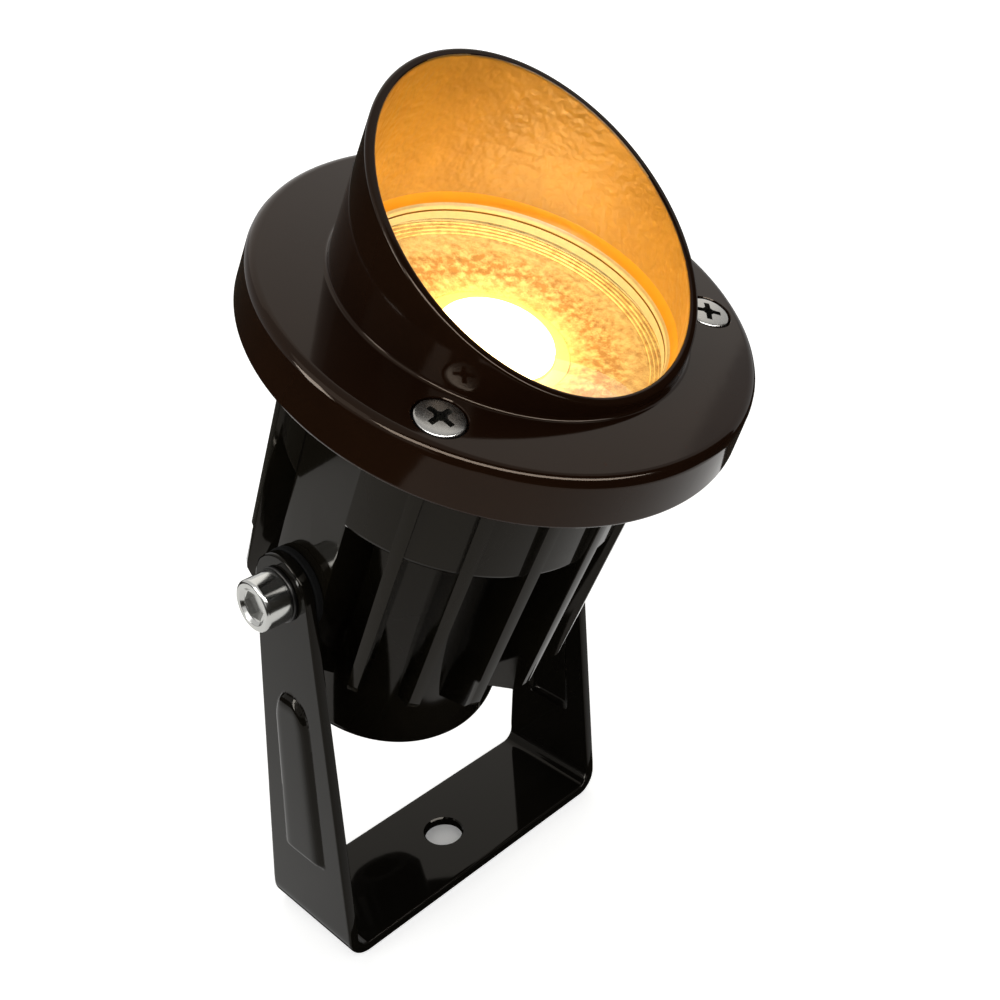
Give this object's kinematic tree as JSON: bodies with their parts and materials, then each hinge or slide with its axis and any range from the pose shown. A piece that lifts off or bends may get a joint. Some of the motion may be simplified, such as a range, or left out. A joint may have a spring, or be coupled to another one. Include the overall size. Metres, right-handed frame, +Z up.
{
  "type": "outdoor spotlight",
  "caption": "Outdoor spotlight with a round finned head and a slanted glare hood, tilting on side bolts in a U bracket with a bolt-down base.",
  "frame": {"origin": "centre of the base hole, on the underside of the bracket's base", "axes": "+Z up, X along the tilt pivot, the beam leaning towards -Y"},
  "size_m": [0.085, 0.096, 0.1603],
  "materials": {
    "bracket_paint": "gloss black paint on bent steel sheet",
    "bezel_paint": "gloss dark bronze paint on die-cast aluminium",
    "housing_paint": "gloss black paint on die-cast aluminium",
    "stainless": "polished stainless steel",
    "black_steel": "blackened steel",
    "black_rubber": "moulded rubber",
    "silicone": "translucent silicone",
    "clear_glass": "toughened clear glass",
    "reflector_metal": "hammered bright aluminium",
    "phosphor": "phosphor in silicone",
    "white_board": "white solder mask",
    "thermal_grey": "thermal pad",
    "bare_aluminium": "machined",
    "green_board": "green solder mask",
    "cup_plastic": "moulded nylon",
    "transformer_tape": "taped winding on ferrite",
    "capacitor_sleeve": "shrink sleeve",
    "terminal_plastic": "moulded plastic",
    "lead_insulation": "silicone insulation",
    "gland_nylon": "moulded nylon"
  },
  "bodies": {
    "bracket": {"mounting_bracket": "bracket_paint"},
    "head": {"front_bezel": "bezel_paint", "heat_sink": "housing_paint", "lens_glass": "clear_glass", "glass_gasket": "silicone", "bezel_o_ring": "black_rubber", "bezel_screws": "stainless", "reflector": "reflector_metal", "led_emitter": "phosphor", "led_board": "white_board", "led_board_screws": "stainless", "thermal_pad": "thermal_grey", "led_plate": "bare_aluminium", "led_plate_screws": "stainless", "led_leads": "lead_insulation", "driver_cup": "cup_plastic", "driver_board": "green_board", "driver_transformer": "transformer_tape", "driver_capacitors": "capacitor_sleeve", "driver_terminal_block": "terminal_plastic", "gland_washer": "black_rubber", "gland_body": "gland_nylon", "gland_seal": "black_rubber", "gland_nut": "gland_nylon", "friction_washers": "black_rubber", "bolt_washers": "black_steel", "pivot_bolts": "stainless"}
  },
  "joints": [
    {"name": "head_tilt", "type": "hinge", "parent": "bracket", "child": "head", "pos_m": [0, 0, 0.074], "axis": [1, 0, 0], "range_deg": [-114.2, 65.8]}
  ]
}
